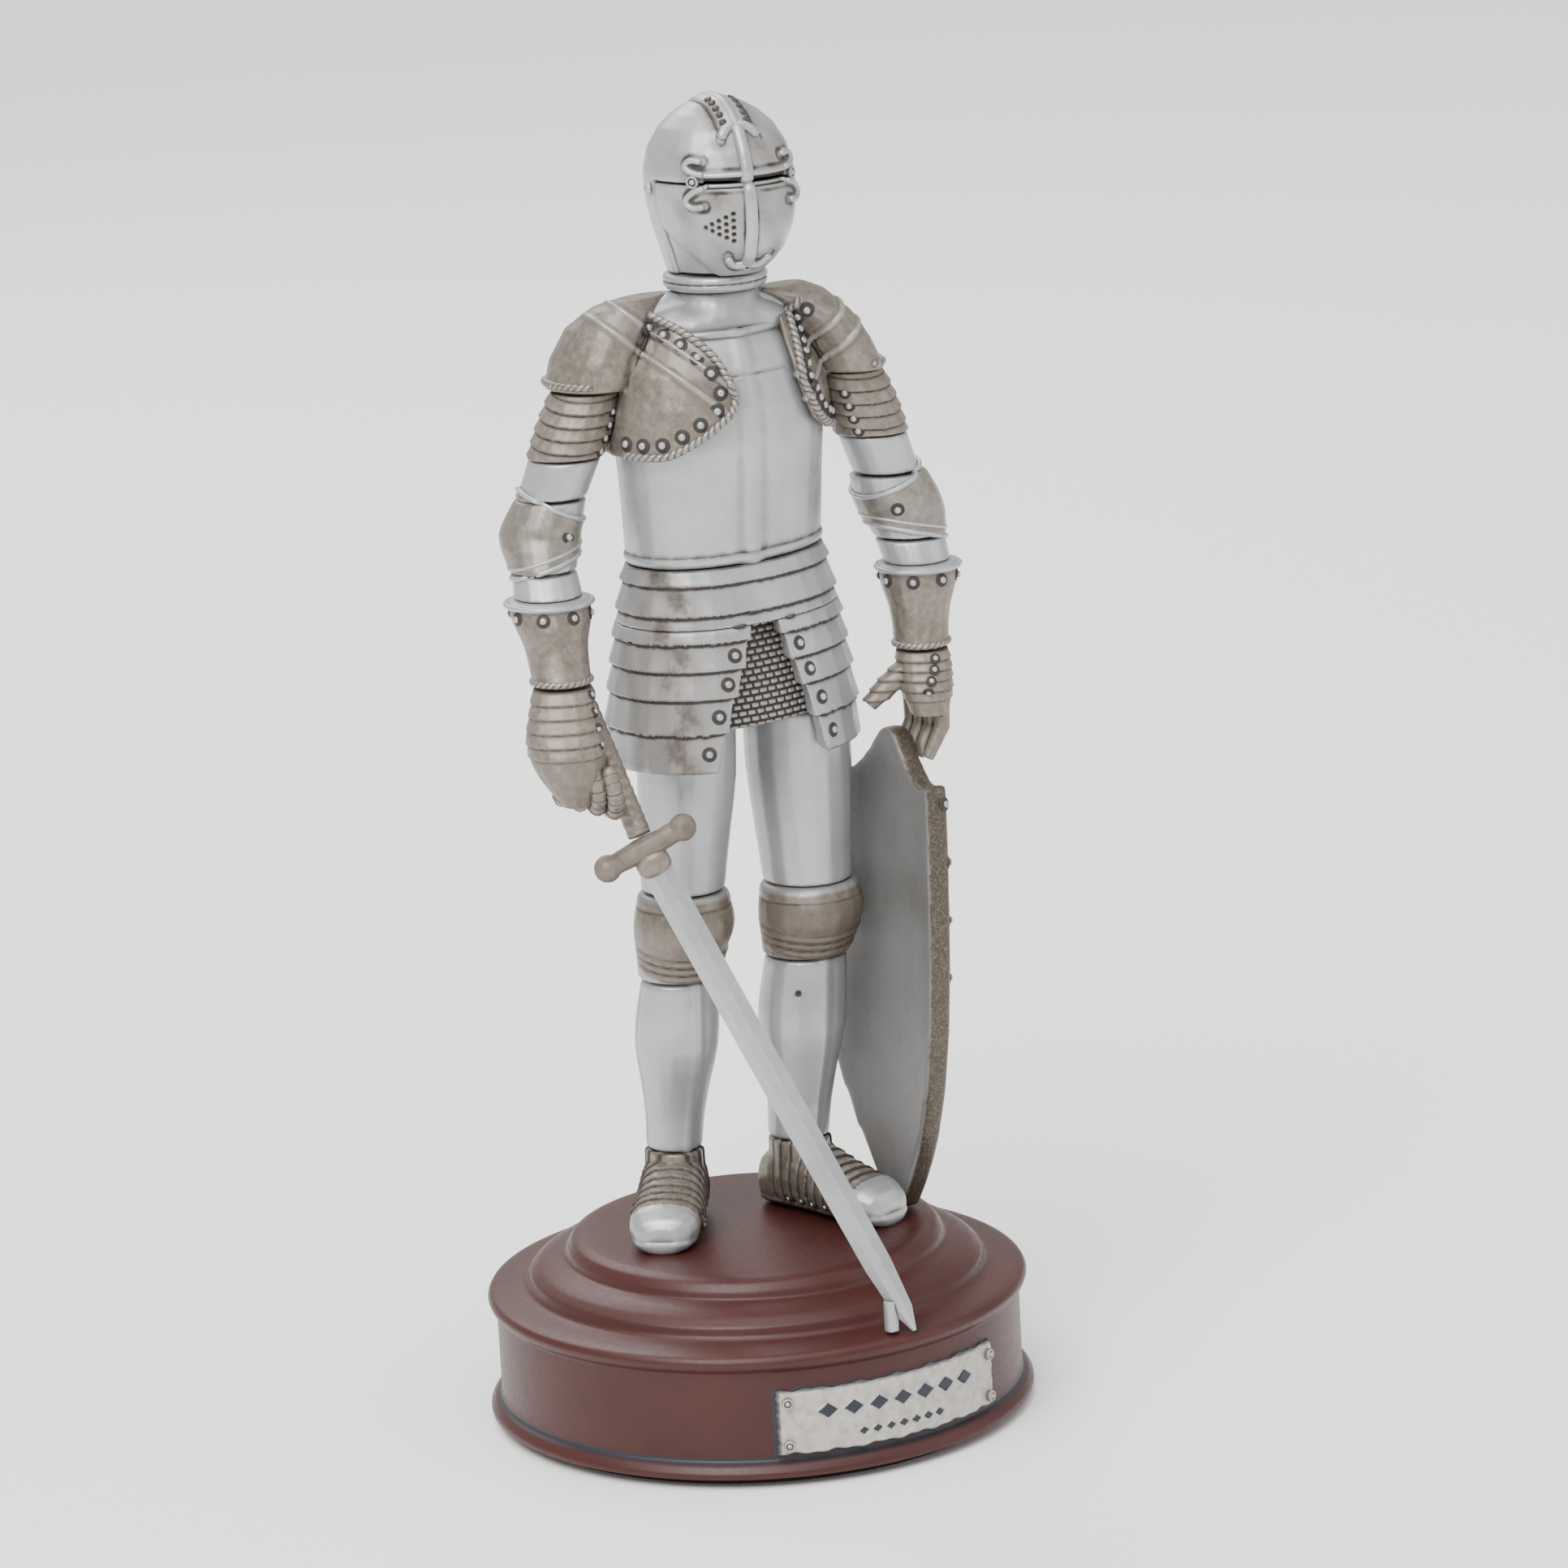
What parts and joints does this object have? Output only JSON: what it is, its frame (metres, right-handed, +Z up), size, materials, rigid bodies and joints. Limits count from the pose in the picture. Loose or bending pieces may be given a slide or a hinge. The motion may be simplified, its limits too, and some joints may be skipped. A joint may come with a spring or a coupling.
{
  "type": "knight figurine",
  "caption": "Collectible figurine of a standing knight in full plate armour, one hand on a lowered sword and the other on a shield, on a stepped round base with a blank name plate.",
  "frame": {"origin": "centre of the felt's underside, on the axis of the round base", "axes": "+Z up, -Y towards the middle of the name plate, +X towards the figure's left, so the shield is at +X"},
  "size_m": [0.0826, 0.0826, 0.1995],
  "materials": {
    "silver_paint": "cast resin, satin silver paint with a dark wash in the recesses",
    "pewter_paint": "cast resin, dull warm pewter paint with a dark wash in the recesses",
    "base_paint": "cast resin, satin red-brown paint",
    "plate_paint": "cast resin, light silver-grey paint",
    "felt": "black pressed felt",
    "pin_steel": "bare steel pin"
  },
  "bodies": {
    "root": {"base_plinth": "base_paint", "collar_ring": "silver_paint", "cuirass": "silver_paint", "fauld": "silver_paint", "felt_pad": "felt", "gorget": "pewter_paint", "helmet_comb": "silver_paint", "helmet_skull": "silver_paint", "left_arm_lames": "pewter_paint", "left_elbow_cop": "pewter_paint", "left_foot_pin": "pin_steel", "left_forearm": "silver_paint", "left_gauntlet_cuff": "pewter_paint", "left_greave": "silver_paint", "left_hand": "pewter_paint", "left_knee_cop": "pewter_paint", "left_pauldron": "pewter_paint", "left_sabaton": "pewter_paint", "left_tasset": "silver_paint", "left_thigh": "silver_paint", "left_upper_arm": "silver_paint", "left_visor_pivot": "pewter_paint", "mail_skirt": "pewter_paint", "name_plate": "plate_paint", "plate_rivet_1": "plate_paint", "plate_rivet_2": "plate_paint", "plate_rivet_3": "plate_paint", "plate_rivet_4": "plate_paint", "rear_tasset": "silver_paint", "right_arm_lames": "pewter_paint", "right_elbow_cop": "pewter_paint", "right_foot_pin": "pin_steel", "right_forearm": "silver_paint", "right_gauntlet_cuff": "pewter_paint", "right_greave": "silver_paint", "right_hand": "pewter_paint", "right_knee_cop": "pewter_paint", "right_pauldron": "pewter_paint", "right_sabaton": "pewter_paint", "right_tasset": "silver_paint", "right_thigh": "silver_paint", "right_upper_arm": "silver_paint", "right_visor_pivot": "pewter_paint", "shield_board": "silver_paint", "sword_blade": "silver_paint", "sword_grip": "pewter_paint", "sword_guard": "pewter_paint", "sword_pommel": "pewter_paint", "tip_rest": "silver_paint", "visor": "silver_paint", "visor_cross": "silver_paint"}
  },
  "joints": []
}
